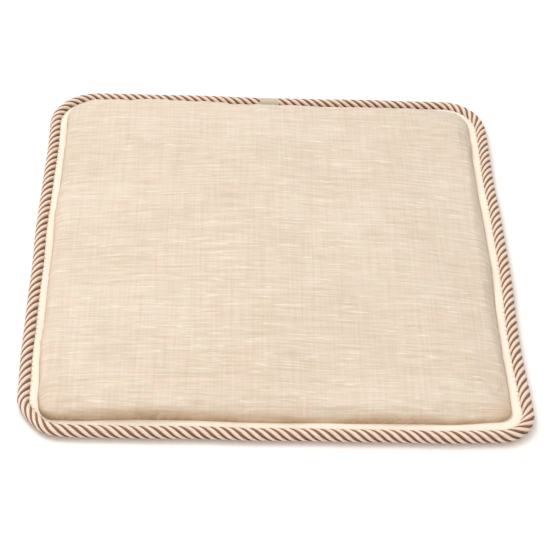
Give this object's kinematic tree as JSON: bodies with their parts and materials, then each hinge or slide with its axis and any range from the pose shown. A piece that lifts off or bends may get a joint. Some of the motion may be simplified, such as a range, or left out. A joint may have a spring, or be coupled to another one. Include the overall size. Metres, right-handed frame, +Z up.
{
  "type": "floor cushion",
  "caption": "Thin square linen floor cushion with a knife edge, a flat cream tape and a two-tone twisted cord round it, a foam pad and a zip underneath.",
  "frame": {"origin": "on the floor, under the middle of the cushion", "axes": "+Z up, through the cushion's thickness; +Y to the edge that the zip is near; +X to the zip's closed end"},
  "size_m": [0.4996, 0.4998, 0.038],
  "materials": {
    "linen": "natural beige linen in plain weave with slubs, matt",
    "linen_underside": "natural beige linen in plain weave, matt",
    "cream_tape": "cream cotton twill tape, matt",
    "cord_cream": "cream cotton yarn, twisted, soft sheen",
    "cord_brown": "dark brown cotton yarn, twisted, soft sheen",
    "cord_filler": "loose cotton filler yarn",
    "sewing_thread": "beige polyester thread",
    "calico": "unbleached calico",
    "wadding": "white polyester wadding",
    "foam": "pale yellow open-cell foam",
    "zip_tape": "beige woven polyester zip tape",
    "zip_coil": "beige nylon coil",
    "zip_metal": "nickel plated, satin"
  },
  "bodies": {
    "cover": {"top_panel": "linen", "bottom_panel_front": "linen_underside", "bottom_panel_rear": "linen_underside", "edge_tape": "cream_tape", "edge_cord": "cord_cream", "cord_core": "cord_filler", "cord_join_band": "cream_tape", "inner_case_top": "calico", "inner_case_bottom": "calico", "wadding_top": "wadding", "wadding_bottom": "wadding", "foam_core": "foam", "zip_tape_front": "zip_tape", "zip_tape_rear": "zip_tape", "zip_coil_front": "zip_coil", "zip_coil_rear": "zip_coil", "zip_stop_top_front": "zip_metal", "zip_stop_top_rear": "zip_metal", "zip_stop_bottom": "zip_metal"},
    "slider": {"zip_slider": "zip_metal"},
    "puller": {"zip_puller": "zip_metal"}
  },
  "joints": [
    {"name": "zip_slide", "type": "slide", "parent": "cover", "child": "slider", "axis": [1, 0, 0], "range_m": [-0.388, 0]},
    {"name": "puller_hinge", "type": "hinge", "parent": "slider", "child": "puller", "pos_m": [0.194, 0.15, 0.00175], "axis": [0, -1, 0], "range_deg": [0, 180]}
  ]
}
